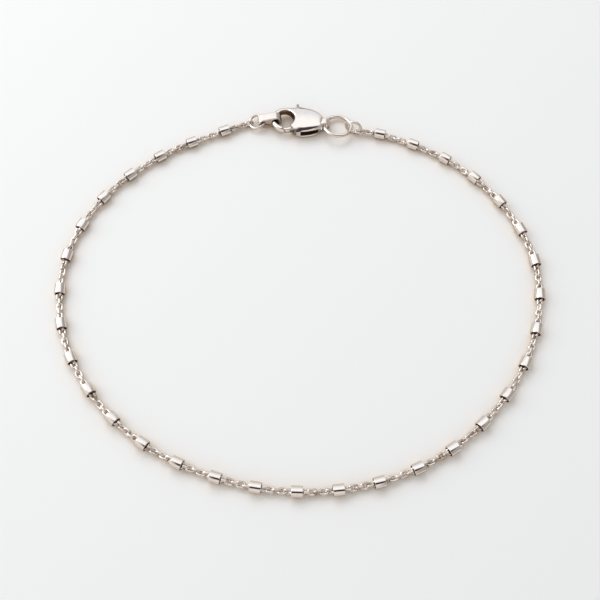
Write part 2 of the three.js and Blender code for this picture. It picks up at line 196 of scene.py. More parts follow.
def superellipse(angles: np.ndarray, half_width: float, half_height: float, power: float) -> np.ndarray:
    """A rounded section: each half size times the signed cosine or sine to the power two over power.

    Args:
        angles: Where round the section each point lies, in radians.
        half_width: Half the section's width.
        half_height: Half its height.
        power: Two for an ellipse, more for a squarer section.

    Returns:
        Points with the width first and the height second.
    """
    cosine, sine = np.cos(angles), np.sin(angles)
    across = half_width * np.sign(cosine) * np.abs(cosine) ** (2 / power)
    up = half_height * np.sign(sine) * np.abs(sine) ** (2 / power)
    return np.stack([across, up], axis=-1)


def directions(yaw: np.ndarray, rise: np.ndarray, roll: np.ndarray) -> Axes:
    """Unit vectors of pieces that are turned, tipped and rolled.

    Args:
        yaw: Their turns about Z, in radians.
        rise: How far they are tipped up.
        roll: How far they are rolled about their own length.

    Returns:
        Vectors along the pieces, across them and out of their planes.
    """
    ahead = np.stack([np.cos(yaw) * np.cos(rise), np.sin(yaw) * np.cos(rise), np.sin(rise)], axis=-1)
    level = np.stack([-np.sin(yaw), np.cos(yaw), np.zeros_like(yaw)], axis=-1)
    up = np.cross(ahead, level)
    side = level * np.cos(roll)[..., None] + up * np.sin(roll)[..., None]
    return ahead, side, np.cross(ahead, side)


def whole_turn(steps: int) -> np.ndarray:
    """Evenly spaced angles all round, in radians."""
    return np.linspace(0, 2 * np.pi, steps, endpoint=False)


def ring_about(radius: float, wire: float, segments: int, sides: int) -> Shell:
    """A round ring about Z: a circle of the wire's radius carried round a circle of the ring's radius.

    Args:
        radius: From the ring's middle to the middle of its wire.
        wire: The wire's thickness.
        segments: Steps round the ring.
        sides: Steps round the wire.

    Returns:
        The ring.
    """
    turn = whole_turn(segments)[:, None]
    round_wire = whole_turn(sides)[None, :]
    reach = radius + wire / 2 * np.cos(round_wire)
    height = wire / 2 * np.sin(round_wire) + 0 * turn
    return swept(np.stack([reach * np.cos(turn), reach * np.sin(turn), height], axis=-1), closed=True)


def placed(shell: Shell, origin: np.ndarray, axes: Axes) -> Shell:
    """The shell with its X, Y and Z laid along three axes from an origin."""
    return Shell(origin + shell.points @ np.stack(axes), shell.quads, shell.caps, shell.inside)


def rgba(colour: Colour) -> tuple[float, float, float, float]:
    """A colour as a node's socket takes it."""
    return (*colour, 1.0)


class Graph:
    """A node tree, with short ways to add what the materials and the daylight share."""

    def __init__(self, tree: bpy.types.NodeTree) -> None:
        """Takes the tree that nodes are added to."""
        self.tree = tree

    def join(self, source: Feed, target: Socket) -> None:
        """Feeds a socket from another, or sets it where the source is a plain value.

        Args:
            source: A socket, a number or a colour.
            target: The socket that is fed or set.
        """
        if isinstance(source, Socket):
            self.tree.links.new(source, target)
        else:
            target.default_value = source

    def add(self, kind: str, feeds: dict[str | int, Feed], **properties: object) -> bpy.types.Node:
        """Adds a node, sets its properties and then feeds its inputs.

        Args:
            kind: The node's type without its first word.
            feeds: What feeds its inputs, by their names or numbers.
            properties: Values by property name.

        Returns:
            The node.
        """
        node = self.tree.nodes.new(f"ShaderNode{kind}")
        for name, value in properties.items():
            setattr(node, name, value)
        for label, source in feeds.items():
            self.join(source, node.inputs[label])
        return node

    def rise(self, value: Socket, low: float, high: float, curve: str = "LINEAR") -> Socket:
        """A value's rise from 0 at low to 1 at high."""
        feeds = {"Value": value, "From Min": low, "From Max": high}
        return self.add("MapRange", feeds, interpolation_type=curve).outputs["Result"]

    def product(self, a: Feed, b: Feed) -> Socket:
        """The product of two values."""
        return self.add("Math", {0: a, 1: b}, operation="MULTIPLY").outputs["Value"]

    def blend(self, share: Socket, a: Feed, b: Feed) -> Socket:
        """The first colour where the share is 0, passing over to the second where it is 1."""
        return self.add("Mix", {"Factor": share, "A": a, "B": b}, data_type="RGBA").outputs["Result"]


# Finishes


@dataclass(frozen=True)
class SilverFinish:
    """Silver with faint polishing marks.

    Attributes:
        name: The material's name.
        colour: The clean metal's colour; in the dark finishes of insides and the lever plate, painted shade.
        warmth: Its colour where it has begun to tone; in those dark finishes, painted shade as well.
        roughness: How far it scatters reflections.
        marks: How strongly the polishing marks show.
        grain: Size of the marks, in millimetres.
    """

    name: str
    colour: Colour
    warmth: Colour
    roughness: float
    marks: float
    grain: float

    # Depth of the polishing marks, in millimetres
    MARK_DEPTH = 0.01

    def build(self) -> bpy.types.Material:
        """Makes the material: a metal whose colour, gloss and bump come from the polish group.

        Returns:
            The material.
        """
        material = bpy.data.materials.new(self.name)
        material.use_nodes = True
        graph = Graph(material.node_tree)
        shader = material.node_tree.nodes["Principled BSDF"].inputs
        shader["Metallic"].default_value = 1.0
        feeds = {
            "Clean Colour": rgba(self.colour),
            "Toned Colour": rgba(self.warmth),
            "Base Roughness": self.roughness,
            "Grain Size": self.grain,
        }
        polish = graph.add("Group", feeds, node_tree=polish_group())
        height = polish.outputs["Height"]
        bump = graph.add("Bump", {"Strength": self.marks, "Distance": self.MARK_DEPTH * MM, "Height": height})
        graph.join(polish.outputs["Colour"], shader["Base Color"])
        graph.join(polish.outputs["Roughness"], shader["Roughness"])
        graph.join(bump.outputs["Normal"], shader["Normal"])
        return material


def polish_group() -> bpy.types.NodeTree:
    """The shared polish effect, built once.

    Cloudy noise tones the metal. Finer noise dulls it a little and gives the height of its polishing marks.

    Returns:
        The node group.
    """
    name = "polish"
    clouds_per_mm, cloud_detail, toning = 0.7, 3.0, (0.45, 0.75)
    grain_detail, least_dull, most_dull = 2.0, 0.8, 1.3
    if name in bpy.data.node_groups:
        return bpy.data.node_groups[name]
    group = bpy.data.node_groups.new(name, "ShaderNodeTree")
    taken = ("Clean Colour", "Toned Colour", "Base Roughness", "Grain Size")
    for way, labels in (("INPUT", taken), ("OUTPUT", ("Colour", "Roughness", "Height"))):
        for label in labels:
            kind = "Color" if "Colour" in label else "Float"
            group.interface.new_socket(label, in_out=way, socket_type=f"NodeSocket{kind}")
    graph = Graph(group)
    given = group.nodes.new("NodeGroupInput").outputs
    out = group.nodes.new("NodeGroupOutput").inputs
    surface = graph.add("TexCoord", {}).outputs["Object"]
    place = graph.add("VectorMath", {0: surface, "Scale": 1 / MM}, operation="SCALE").outputs["Vector"]
    feeds = {"Vector": place, "Scale": clouds_per_mm, "Detail": cloud_detail}
    toned = graph.rise(graph.add("TexNoise", feeds).outputs["Fac"], *toning)
    graph.join(graph.blend(toned, given["Clean Colour"], given["Toned Colour"]), out["Colour"])

    per_grain = graph.add("Math", {0: 1.0, 1: given["Grain Size"]}, operation="DIVIDE").outputs["Value"]
    feeds = {"Vector": place, "Scale": per_grain, "Detail": grain_detail}
    grain = graph.add("TexNoise", feeds).outputs["Fac"]
    graph.join(grain, out["Height"])
    dulled = graph.add("MapRange", {"Value": grain, "To Min": least_dull, "To Max": most_dull})
    graph.join(graph.product(dulled.outputs["Result"], given["Base Roughness"]), out["Roughness"])
    return group


CLASP_SILVER = SilverFinish("clasp_polish", (0.93, 0.92, 0.91), (0.9, 0.86, 0.82), 0.07, 0.25, 0.5)
RING_SILVER = SilverFinish("ring_polish", (0.91, 0.89, 0.87), (0.86, 0.81, 0.75), 0.09, 0.2, 0.3)
CHAIN_SILVER = SilverFinish("chain_polish", (0.93, 0.9, 0.87), (0.5, 0.42, 0.35), 0.09, 0.2, 0.2)
BEAD_SILVER = SilverFinish("bead_polish", (0.92, 0.91, 0.9), (0.88, 0.85, 0.81), 0.08, 0.15, 0.4)
# Rough unpolished insides of the bores, the lever's room and the post; their dark brown colour is painted
# shade
INSIDE_SILVER = SilverFinish("unpolished_shaded_inside", (0.3, 0.19, 0.14), (0.2, 0.12, 0.08), 0.5, 0.5, 0.1)
# Painted shade: the dark colour of the claw hole's wall and of the flat link's inside, where shade falls
SHADED_INSIDE_SILVER = SilverFinish("shaded_inside", (0.42, 0.31, 0.24), (0.28, 0.19, 0.13), 0.25, 0.4, 0.2)
# The brushed lever plate; its dark colour is painted shade for the room that it sits in
LEVER_SILVER = SilverFinish("lever_brushed_shaded", (0.38, 0.36, 0.34), (0.3, 0.27, 0.25), 0.35, 0.5, 0.15)


def make_piece(name: str, shell: Shell, *finishes: SilverFinish) -> bpy.types.Object:
    """Puts a shell into the scene as a smooth object at the origin.

    Args:
        name: The piece's name.
        shell: Its surface, in millimetres.
        finishes: Its finish, and the finish of its inside where it has one.

    Returns:
        The new object.
    """
    mesh = bpy.data.meshes.new(name)
    faces = shell.quads.tolist() + shell.caps
    mesh.from_pydata((shell.points * MM).tolist(), [], faces)
    for finish in finishes:
        mesh.materials.append(bpy.data.materials.get(finish.name) or finish.build())
    if shell.inside is not None:
        slots = np.zeros(len(faces), np.int32)
        slots[: len(shell.inside)] = shell.inside
        mesh.polygons.foreach_set("material_index", slots)
    mesh.shade_smooth()
    mesh.update()
    piece = bpy.data.objects.new(name, mesh)
    bpy.context.scene.collection.objects.link(piece)
    return piece


def carve(piece: bpy.types.Object, tool: bpy.types.Object, carving: Carving) -> None:
    """Joins a tool's shape to a piece or cuts it away, applies that to the mesh and removes the tool.

    Args:
        piece: The object that is changed.
        tool: The object that cuts it or is joined to it.
        carving: Which of the two.
    """
    modifier = piece.modifiers.new("carve", "BOOLEAN")
    modifier.operation = carving.value
    modifier.object = tool
    modifier.solver = "EXACT"
    modifier.material_mode = "TRANSFER"
    shaped = piece.evaluated_get(bpy.context.evaluated_depsgraph_get())
    mesh = bpy.data.meshes.new_from_object(shaped)
    old = piece.data
    piece.modifiers.clear()
    piece.data = mesh
    mesh.name = piece.name
    bpy.data.meshes.remove(old)
    bpy.data.objects.remove(tool)


def seat(piece: bpy.types.Object, body: Body, node: str) -> None:
    """Lets a piece ride on a body in the place of a solid, and reports it.

    Args:
        piece: The piece.
        body: The body that carries it.
        node: The solid that it replaces.
    """
    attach(piece, body.value)
    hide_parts(node)
    log.info("%s: %d faces, for %s", piece.name, len(piece.data.polygons), node)


class Route:
    """The centre line of the chain, measured along its length.

    It is a centripetal Catmull-Rom curve: between two points it is the cubic whose end slopes come from the
    neighbouring points, each step weighted by the square root of its length.
    """

    STEPS = 120

    def __init__(self) -> None:
        """Samples the curve finely and adds up its length."""
        beads = [(x, y, BEAD_HEIGHT) for x, y in ROUTE]
        knots = np.array([LEFT_END, *beads, RIGHT_END]) + ROUTE_SHIFT
        knots = np.concatenate([[2 * knots[0] - knots[1]], knots, [2 * knots[-1] - knots[-2]]])
        before, start, end, after = knots[:-3], knots[1:-2], knots[2:-1], knots[3:]
        first, middle, last = (
            np.sqrt(np.linalg.norm(b - a, axis=1))[:, None]
            for a, b in ((before, start), (start, end), (end, after))
        )
        leaving = (start - before) / first - (end - before) / (first + middle) + (end - start) / middle
        arriving = (end - start) / middle - (after - start) / (middle + last) + (after - end) / last
        t = np.linspace(0, 1, self.STEPS, endpoint=False)[None, :, None]
        a, b, c, d = (k[:, None, :] for k in (start, leaving * middle, arriving * middle, end))
        cubic = a + b * t + (3 * (d - a) - 2 * b - c) * t**2 + (2 * (a - d) + b + c) * t**3
        self.points = np.concatenate([cubic.reshape(-1, 3), knots[-2:-1]])
        steps = np.linalg.norm(np.diff(self.points, axis=0), axis=1)
        self.distances = np.concatenate([[0.0], np.cumsum(steps)])
        self.length = float(self.distances[-1])

    def at(self, distance: np.ndarray) -> np.ndarray:
        """The points at these distances along the route."""
        return np.stack([np.interp(distance, self.distances, self.points[:, i]) for i in range(3)], axis=-1)

    def chord(self, distance: np.ndarray, half: float) -> np.ndarray:
        """Unit vectors from half a piece's length before each distance to half its length after it."""
        run = self.at(distance + half) - self.at(distance - half)
        return run / np.linalg.norm(run, axis=-1, keepdims=True)


@dataclass
class TubeBeads:
    """Short tube beads threaded on the chain.

    Attributes:
        route: The line that they are threaded on.
        length: Length of a bead.
        radius: Its outer radius.
        bore: Its bore's radius.
        rim: How far its rims are rounded.
        left_lead: Chain from the left end link to the first bead's middle.
        right_lead: Chain from the last bead's middle to the right end link.
        segments: Steps round a bead.
        rim_steps: Steps over a rounded rim.
    """

    route: Route
    length: float = 1.85
    radius: float = 0.95
    bore: float = 0.75
    rim: float = 0.07
    left_lead: float = 4.8
    right_lead: float = 3.93
    segments: int = 40
    rim_steps: int = 4

    @property
    def pitch(self) -> float:
        """Distance from bead to bead along the route."""
        return (self.route.length - self.left_lead - self.right_lead) / (BEAD_COUNT - 1)

    def middles(self) -> np.ndarray:
        """Distances of the beads' middles along the route."""
        return self.left_lead + self.pitch * np.arange(BEAD_COUNT)

    def tube(self) -> Shell:
        """A tube along X: a rounded profile of length and radius turned about the axis.

        The profile is a rectangle between bore and outside, with a quarter circle at each of its corners.

        Returns:
            The tube, with its bore marked as inside.
        """
        half = self.length / 2 - self.rim
        turn = np.linspace(0, np.pi / 2, self.rim_steps + 1)
        corners = (
            (half, self.radius - self.rim, 0.0),
            (-half, self.radius - self.rim, np.pi / 2),
            (-half, self.bore + self.rim, np.pi),
            (half, self.bore + self.rim, 1.5 * np.pi),
        )
        profile = np.concatenate([
            np.stack([x + self.rim * np.cos(turn + start), r + self.rim * np.sin(turn + start)], axis=-1)
            for x, r, start in corners
        ])
        angle = whole_turn(self.segments)[:, None]
        along, reach = profile[None, :, 0] + 0 * angle, profile[:, 1]
        shell = swept(np.stack([along, reach * np.cos(angle), reach * np.sin(angle)], axis=-1), closed=True)
        shell.mark_inside(reach < self.bore + self.rim / 2)
        return shell

    def build(self) -> None:
        """Makes every bead on the middle of its own chord of the route, and seats it."""
        shape = self.tube()
        middles, half = self.middles(), self.length / 2
        ahead = self.route.chord(middles, half)
        centres = (self.route.at(middles + half) + self.route.at(middles - half)) / 2
        centres[:, 2] = self.radius
        level = np.zeros(BEAD_COUNT)
        axes = directions(np.arctan2(ahead[:, 1], ahead[:, 0]), level, level)
        for i in range(BEAD_COUNT):
            node = f"bead_{i + 1:02d}"
            shell = placed(shape, centres[i], tuple(axis[i] for axis in axes))
            seat(make_piece(f"tube_{node}", shell, BEAD_SILVER, INSIDE_SILVER), Body.ANKLET, node)


@dataclass
class CableChain:
    """The fine cable chain: interlocked oval links from ring to ring.

    Attributes:
        route: The line that it follows.
        beads: The beads that it passes through.
        wire: Thickness of the links' wire.
        length: Outer length of a link.
        width: Its outer width.
        end_length: Outer length of the link at each end.
        end_width: Outer width of that link.
        end_inset: How far that link's middle lies short of its outer end, less its half length.
        in_bead: Height of the chain's middle inside a bead.
        in_gap: Its height half-way between two beads.
        slack: Play between two links that hang in each other.
        segments: Steps round a link.
        sides: Steps round its wire.
        lead_drift: How far the first gap's links are pushed on along the route.
        drift_gaps: Over how many gaps that fades.
        drift_jitter: How far each gap's middle link strays by chance.
        middle_jitter: How far its roll strays, in degrees.
        turn_jitter: How far every roll strays, in degrees.
        seed: Starts the chance.
    """

    route: Route
    beads: TubeBeads
    wire: float = 0.4
    length: float = 1.76
    width: float = 1.26
    end_length: float = 2.0
    end_width: float = 1.56
    end_inset: float = 0.32
    in_bead: float = 0.86
    in_gap: float = 0.72
    slack: float = 0.02
    segments: int = 24
    sides: int = 8
    lead_drift: float = 0.35
    drift_gaps: int = 5
    drift_jitter: float = 0.03
    middle_jitter: float = 9.0
    turn_jitter: float = 2.0
    seed: int = 11

    # How the link half-way between two beads is rolled, in degrees, by the number of the bead before it
    MIDDLE_ROLLS = (
        (0, 40), (2, 80), (4, 20), (9, 0), (12, 55), (14, 90), (18, 90), (20, 60),
        (22, 10), (28, 0), (30, 80), (32, 60),
    )

    def link(self, length: float, width: float) -> Shell:
        """An oval link in the XY plane along X: a round ring drawn out into straight sides.

        Args:
            length: Its outer length.
            width: Its outer width.

        Returns:
            The link about the origin.
        """
        shape = ring_about((width - self.wire) / 2, self.wire, self.segments, self.sides)
        cosine, sine = np.cos(np.pi / self.segments), np.sin(np.pi / self.segments)
        points = shape.points @ np.array([[cosine, sine, 0], [-sine, cosine, 0], [0, 0, 1]])
        points[:, 0] += np.sign(points[:, 0]) * (length - width) / 2
        return Shell(points, shape.quads)

    def middles(self) -> tuple[np.ndarray, np.ndarray]:
        """Where the plain links lie along the route and how they are rolled.

        The link half-way between two beads is an anchor. Between anchors the links are evenly spaced, and
        each is rolled on by the same angle, the nearest to a right angle that ends as the anchor does.

        Returns:
            Distances along the route, and rolls in radians.
        """
        random = np.random.default_rng(self.seed)
        gaps = np.arange(BEAD_COUNT - 1)
        hook = (self.end_length + self.length) / 2 - self.wire * 2 - self.slack
        beads = self.beads.middles()
        drift = self.lead_drift * np.clip(1 - gaps / self.drift_gaps, 0, 1)
        drift += random.uniform(-self.drift_jitter, self.drift_jitter, len(gaps))
        anchors = (beads[:-1] + beads[1:]) / 2 + drift
        numbers, rolls = np.array(self.MIDDLE_ROLLS).T
        strays = random.uniform(-self.middle_jitter, self.middle_jitter, len(gaps))
        places = np.concatenate([[hook], anchors, [self.route.length - hook]])
        counts = np.full(len(places) - 1, LINKS_PER_PITCH)
        counts[0] += 1
        turns = np.diff(np.concatenate([[0.0], np.interp(gaps, numbers, rolls) + strays, [90.0]]))
        turns += 180 * np.round((90 * counts - turns) / 180)
        starts = np.concatenate([[0], np.cumsum(counts)])
        links = np.arange(starts[-1] + 1)
        roll = np.interp(links, starts, np.concatenate([[0], np.cumsum(turns)]))
        roll += random.uniform(-self.turn_jitter, self.turn_jitter, len(roll))
        return np.interp(links, starts, places), np.radians(roll)

    def heights(self, distance: np.ndarray) -> np.ndarray:
        """Heights of the chain's middle: a cosine wave with its crests at the beads, level in the end links.

        Args:
            distance: Distances along the route.

        Returns:
            The heights there.
        """
        phase = (distance - self.beads.left_lead) / self.beads.pitch
        wave = (self.in_bead + self.in_gap + (self.in_bead - self.in_gap) * np.cos(2 * np.pi * phase)) / 2
        ends = self.route.at(distance)[..., 2]
        reach = np.clip(np.minimum(distance, self.route.length - distance) / self.beads.right_lead, 0, 1)
        return ends + (wave - ends) * reach**2 * (3 - 2 * reach)

    def build(self) -> None:
        """Lays a link on each chord of the route, with the two end links, and seats the chain."""
        distance, roll = self.middles()
        template = self.link(self.length, self.width)
        half = self.length / 2 - self.wire
        ends = []
        for reach in (distance - half, distance + half):
            point = self.route.at(reach)
            point[:, 2] = self.heights(reach)
            ends.append(point)
        run = ends[1] - ends[0]
        level_run = np.hypot(run[:, 0], run[:, 1])
        axes = directions(np.arctan2(run[:, 1], run[:, 0]), np.arctan2(run[:, 2], level_run), roll)
        points = (ends[0] + ends[1])[:, None] / 2
        for i, axis in enumerate(axes):
            points = points + template.points[None, :, i : i + 1] * axis[:, None]
        offsets = np.arange(len(distance))[:, None, None] * len(template.points)
        shells = [Shell(points.reshape(-1, 3), (template.quads[None] + offsets).reshape(-1, 4))]
        end_link = self.link(self.end_length, self.end_width)
        inset = self.end_length / 2 - self.end_inset
        last = self.route.length
        for end, towards, tip in ((0.0, inset, np.pi / 2), (last, last - inset, 0.0)):
            origin, target = self.route.at(np.array([end, towards]))
            turn = np.arctan2(target[1] - origin[1], target[0] - origin[0])
            shells.append(placed(end_link, origin, directions(turn, np.float64(0), np.float64(tip))))
        seat(make_piece("cable_chain", joined(shells), CHAIN_SILVER), Body.ANKLET, "chain")
        log.info("cable chain of %d links", len(distance) + 2)


@dataclass
class JumpRing:
    """A round wire ring, measured from its solid.

    Attributes:
        node: The solid that it stands for.
        outer: Its outer diameter.
        wire: Its wire's thickness.
        segments: Steps round the ring.
        sides: Steps round its wire.
    """

    node: str
    outer: float
    wire: float
    segments: int = 72
    sides: int = 20

    def build(self) -> None:
        """Finds the solid's middle and the plane that it spreads in, and makes the ring there."""
        mesh = frame["nodes"][self.node].data
        points = np.zeros(len(mesh.vertices) * 3)
        mesh.vertices.foreach_get("co", points)
        points = points.reshape(-1, 3) / MM
        centre = (points.min(axis=0) + points.max(axis=0)) / 2
        normal, _, ahead = np.linalg.eigh(np.cov((points - centre).T))[1].T
        shell = ring_about((self.outer - self.wire) / 2, self.wire, self.segments, self.sides)
        shell = placed(shell, centre, (ahead, np.cross(normal, ahead), normal))
        seat(make_piece(f"{self.node}_wire", shell, RING_SILVER), Body.ANKLET, self.node)


@dataclass
class ClaspFrame:
    """Where the clasp lies.

    Attributes:
        x: Middle of its claw's hole across the loop.
        y: The same along the loop.
        middle: Height of its middle.
        yaw: Its turn about Z.
    """

    x: float = -2.7586
    y: float = 33.5546
    middle: float = 1.25
    yaw: float = math.radians(-6)

    def place(self, shell: Shell) -> Shell:
        """Brings a shell from the clasp's own frame, with its middle height at 0, to the anklet's."""
        axes = directions(np.float64(self.yaw), np.float64(0), np.float64(0))
        return placed(shell, np.array([self.x, self.y, self.middle]), axes)


@dataclass
class FlatLink:
    """A flat band bent into an egg-shaped loop that stands on its edge.

    Attributes:
        clasp: The clasp whose claw it hangs in.
        thickness: The band's thickness.
        width: Its width.
        head: Outer radius of the round end.
        nose: Outer radius of the narrow end.
        span: Distance between the middles of the two ends.
        reach: Distance from the claw's middle to the head's middle.
        yaw: Its turn about Z.
        segments: Steps round the loop.
        sides: Steps round the band's section.
    """

    clasp: ClaspFrame
    thickness: float = 0.4
    width: float = 1.6
    head: float = 1.338
    nose: float = 0.985
    span: float = 2.177
    reach: float = 2.0494
    yaw: float = math.radians(186)
    segments: int = 96
    sides: int = 28

    # How far in from the section's middle the painted shade on the inside starts, as a share of the thickness
    INSIDE_FROM = 0.4

    def build(self) -> None:
        """Makes the band: a rounded rectangle carried round the line that a belt takes over both ends."""
        lean = math.acos((self.head - self.nose) / self.span)
        head_turn = np.linspace(lean, 2 * np.pi - lean, self.segments // 2)
        nose_turn = np.linspace(-lean, lean, self.segments // 2)
        centre = np.repeat([0.0, self.span], self.segments // 2)
        radius = np.repeat([self.head, self.nose], self.segments // 2)
        turn = np.concatenate([head_turn, nose_turn])[:, None]
        section = superellipse(whole_turn(self.sides), self.thickness / 2, self.width / 2, BAND_POWER)
        reach = (radius - self.thickness / 2)[:, None] + section[None, :, 0]
        x = centre[:, None] + reach * np.cos(turn)
        shell = swept(np.stack([x, reach * np.sin(turn), section[None, :, 1] + 0 * x], axis=-1), closed=True)
        shell.mark_inside(section[:, 0] < -self.INSIDE_FROM * self.thickness)
        origin = np.array([
            self.clasp.x - self.reach * math.cos(self.clasp.yaw),
            self.clasp.y - self.reach * math.sin(self.clasp.yaw),
            self.head,
        ])
        axes = directions(np.float64(self.yaw), np.float64(0), np.float64(np.pi / 2))
        piece = make_piece("flat_link_band", placed(shell, origin, axes), CLASP_SILVER, SHADED_INSIDE_SILVER)
        seat(piece, Body.ANKLET, "flat_link")


def bezier(points: tuple[tuple[float, float], ...], steps: int) -> np.ndarray:
    """A cubic Bezier curve: its four control points weighted by the Bernstein polynomials.

    Args:
        points: The control points.
        steps: How many points it is given.

    Returns:
        Points on the curve.
    """
    t = np.linspace(0, 1, steps)[:, None]
    a, b, c, d = (np.array(p) for p in points)
    return (1 - t) ** 3 * a + 3 * (1 - t) ** 2 * t * b + 3 * (1 - t) * t**2 * c + t**3 * d


@dataclass
class LobsterClasp:
    """The lobster clasp: claw, hollow domed body and eye in one, and the lever that closes the claw.

    Lengths are measured from the middle of the claw's hole, with X towards the tail.

    Attributes:
        frame: Where it lies.
        hole: Radius of the claw's hole.
        arm: Width of the claw's arm.
        arm_height: Its height.
        height: Height of the body at its crown.
        length: Where its tail ends.
        half_width: Half of its greatest width.
        tail: Half width of the tail.
        shoulder: The first flank's handle, as shares of length and half width.
        waist: The second handle, likewise.
        dome_middle: Where the dome's ellipsoid has its middle.
        dome_reach: Its half length.
        dome_flank: Its half width.
        slot_height: Height of the lever's room.
        rim_height: Least height of the body's wall.
        eye_x: Middle of the eye.
        eye_radius: Radius of its hole.
        eye_wall: Thickness of its band.
        eye_width: Width of its band.
        pivot: Middle of the post.
        post: Its radius.
        post_seat: How far it is sunk into floor and roof, both together.
        notch: From where to where the far side is open for the nub.
        nub: From where to where the nub reaches.
        nub_reach: How far it stands out from the body.
        lever_thickness: Thickness of the lever's plate.
        gate_height: Height of the gate.
        gap: Play between gate and claw.
        bore_gap: Play of the lever on its post.
        hub_wall: The lever's wall round its post.
        gate_root: Angle where the gate meets the body.
        slit_outer: Angle of the slit at the claw's outside.
        slit_inner: The same at the hole.
        rounding: How far the arm's edges are rounded.
        body_rounding: The same for the body.
        lip: How far the dome steps back over the window.
        lip_from: Where the step back starts.
        lip_to: Where it ends.
        lip_ease: Over what length it eases in and out.
        edge_drop: How far the dome falls at its edge.
    """

    frame: ClaspFrame
    hole: float = 1.72
    arm: float = 0.96
    arm_height: float = 1.3
    height: float = 2.5
    length: float = 7.3
    half_width: float = 2.71
    tail: float = 0.6
    shoulder: tuple[float, float] = (0.4, 1.17)
    waist: tuple[float, float] = (0.86, 1.08)
    dome_middle: float = 3.98
    dome_reach: float = 7.26
    dome_flank: float = 3.61
    slot_height: float = 0.94
    rim_height: float = 0.62
    eye_x: float = 7.45
    eye_radius: float = 0.69
    eye_wall: float = 0.42
    eye_width: float = 1.2
    pivot: tuple[float, float] = (3.18, -0.6)
    post: float = 0.35
    post_seat: float = 0.24
    notch: tuple[float, float] = (1.54, 3.42)
    nub: tuple[float, float] = (1.78, 2.18)
    nub_reach: float = 1.0
    lever_thickness: float = 0.7
    gate_height: float = 1.1
    gap: float = 0.06
    bore_gap: float = 0.12
    hub_wall: float = 0.45
    gate_root: float = math.radians(-50)
    slit_outer: float = math.radians(273)
    slit_inner: float = math.radians(251)
    rounding: float = 0.44
    body_rounding: float = 1.4
    lip: float = 0.45
    lip_from: float = 2.2
    lip_to: float = 7.2
    lip_ease: float = 1.9
    edge_drop: float = 0.5

    # Steps along the body's edge, over a rounded edge and over the flat between two
    TURNS = 200
    EDGE_STEPS = 10
    TOP_STEPS = 16

    # Steps along a flank, round the arm, the eye, its band and its hole, the post, the gate and its section
    FLANK_STEPS = 60
    ARM_STEPS = 90
    EYE_STEPS = 56
    BAND_STEPS = 24
    HOLE_STEPS = 48
    POST_STEPS = 40
    GATE_STEPS = 24
    GATE_SIDES = 32

    # The part of the hole's wall that takes the painted shade
    SHADED_PART = 0.8

    # The lever's plate: the turn of its hub, where its edge along the hole starts, how far short of the gate's
    # root it stops at the outside and at the hole, and how far over the pivot its far corner lies
    HUB_TURN = (-0.5 * np.pi, 0.447 * np.pi)
    PLATE_START = math.radians(-22)
    PLATE_STOPS = (0.15, 0.2)
    PLATE_CORNER = 0.35

    # How sharply arm and dome meet, how soon the wall reaches its height, and how square the gate is
    MEETING_POWER = 8
    WALL_EASE = 6
    GATE_POWER = 2.6

    # Corners of the lever's room, besides those of its window and notch
    ROOM_NEAR = ((0.0, 0.0), (1.185, -2.404), (3.18, -2.21))
    ROOM_FAR = ((6.04, -0.5), (5.09, 1.23), (3.42, 1.76), (1.54, 1.76), (1.03, 1.32))
    WINDOW = (3.18, 7.44)

    @property
    def outside(self) -> float:
        """A distance to the side that lies well outside the body."""
        return self.half_width * 1.5

    def outline(self) -> tuple[np.ndarray, np.ndarray]:
        """The body's outer edge seen from above.

        It runs from the gate's root round the tail and the claw's arm to the slit: two Bezier flanks, then a
        circle round the hole.

        Returns:
            Angles round the claw's middle, and reaches from it.
        """
        size = np.array([self.length, self.half_width])
        ends = (0, self.half_width), (self.length, self.tail)
        flank = bezier((ends[0], self.shoulder * size, self.waist * size, ends[1]), self.FLANK_STEPS)
        edge = np.concatenate([flank * [1, -1], flank[::-1]])
        arm_turn = np.linspace(np.pi / 2, self.slit_outer, self.ARM_STEPS)[1:]
        turn = np.concatenate([np.arctan2(edge[:, 1], edge[:, 0]), arm_turn])
        arm_reach = np.full_like(arm_turn, self.hole + self.arm)
        reach = np.concatenate([np.hypot(edge[:, 0], edge[:, 1]), arm_reach])
        kept = turn >= self.gate_root
        start = np.interp(self.gate_root, turn, reach)
        return np.concatenate([[self.gate_root], turn[kept]]), np.concatenate([[start], reach[kept]])

    def dome(self, x: np.ndarray, y: np.ndarray) -> np.ndarray:
        """Half the body's height over a point: an ellipsoid about the middle of the dome."""
        fall = ((x - self.dome_middle) / self.dome_reach) ** 2 + (y / self.dome_flank) ** 2
        return self.height / 2 * np.sqrt(np.clip(1 - fall, 0.01, 1))

    def section(self) -> tuple[np.ndarray, np.ndarray, np.ndarray]:
        """A section of claw and body, as shares.

        Returns:
            Place between the two rounded edges, from 0 at the hole to 1 at the outline; part of an edge's
            rounding that is added outward, from -1 to 1; and part of the height, from -1 to 1.
        """
        turn = np.linspace(0, np.pi / 2, self.EDGE_STEPS)
        flat = np.linspace(1, 0, self.TOP_STEPS + 2)[1:-1]
        quarter = np.stack([np.ones_like(turn), np.cos(turn), np.sin(turn)], axis=-1)
        top = np.stack([flat, np.zeros_like(flat), np.ones_like(flat)], axis=-1)
        upper = np.concatenate([quarter, top, quarter[::-1] * [0, -1, 1]])
        lower = upper[-2:0:-1] * [1, 1, -1]
        return tuple(np.concatenate([upper, lower]).T)

